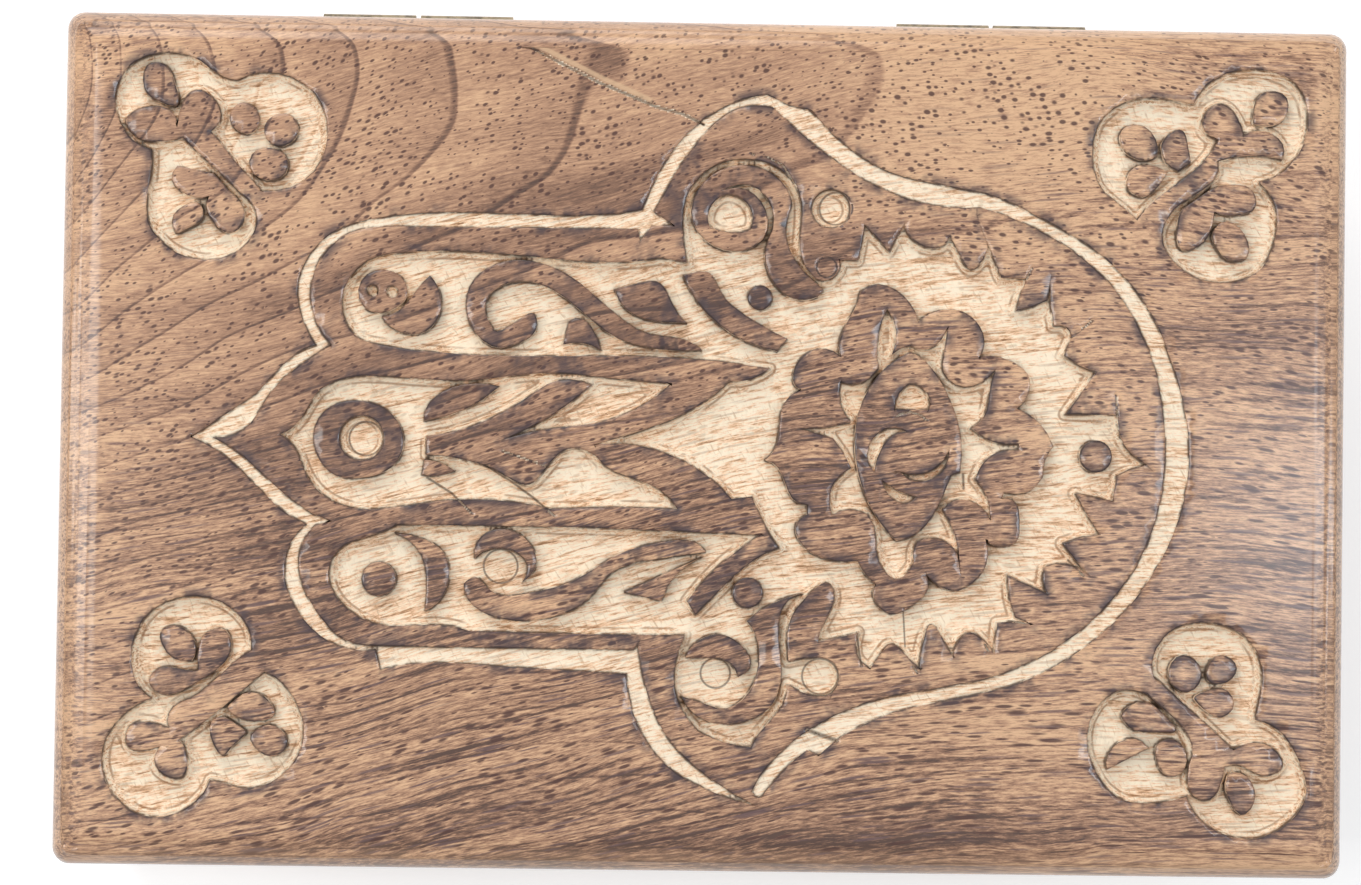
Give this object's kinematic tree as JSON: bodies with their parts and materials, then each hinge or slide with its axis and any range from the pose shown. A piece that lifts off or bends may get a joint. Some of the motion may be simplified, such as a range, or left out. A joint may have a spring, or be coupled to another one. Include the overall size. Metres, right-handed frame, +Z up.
{
  "type": "keepsake box",
  "caption": "Rectangular hinged wooden keepsake box; its thick lid has rounded edges and is carved with an open hand, a sun and corner leaves.",
  "frame": {"origin": "centre of the underside, on the plane that the box stands on", "axes": "+Z up out of the lid, +X along the box to the right as seen from the front, +Y to the back, where the hinges are"},
  "size_m": [0.152, 0.1037, 0.064],
  "materials": {
    "box_wood": "stained and lacquered hardwood, satin",
    "lid_wood": "stained and lacquered hardwood, carved down to pale raw wood",
    "floor_wood": "sanded hardwood",
    "hinge_brass": "aged, dull",
    "pin_brass": "aged, dull",
    "screw_brass": "aged, dull"
  },
  "bodies": {
    "base": {"front_wall": "box_wood", "back_wall": "box_wood", "left_wall": "box_wood", "right_wall": "box_wood", "bottom_panel": "floor_wood", "left_hinge_base_leaf": "hinge_brass", "left_hinge_pin": "pin_brass", "left_hinge_base_screws": "screw_brass", "right_hinge_base_leaf": "hinge_brass", "right_hinge_pin": "pin_brass", "right_hinge_base_screws": "screw_brass"},
    "lid": {"lid_front_rail": "box_wood", "lid_back_rail": "box_wood", "lid_left_rail": "box_wood", "lid_right_rail": "box_wood", "lid_panel": "lid_wood", "left_hinge_lid_leaf": "hinge_brass", "left_hinge_lid_screws": "screw_brass", "right_hinge_lid_leaf": "hinge_brass", "right_hinge_lid_screws": "screw_brass"}
  },
  "joints": [
    {"name": "lid_hinge", "type": "hinge", "parent": "base", "child": "lid", "pos_m": [0, 0.05205, 0.0401], "axis": [-1, 0, 0], "range_deg": [0, 180]}
  ]
}
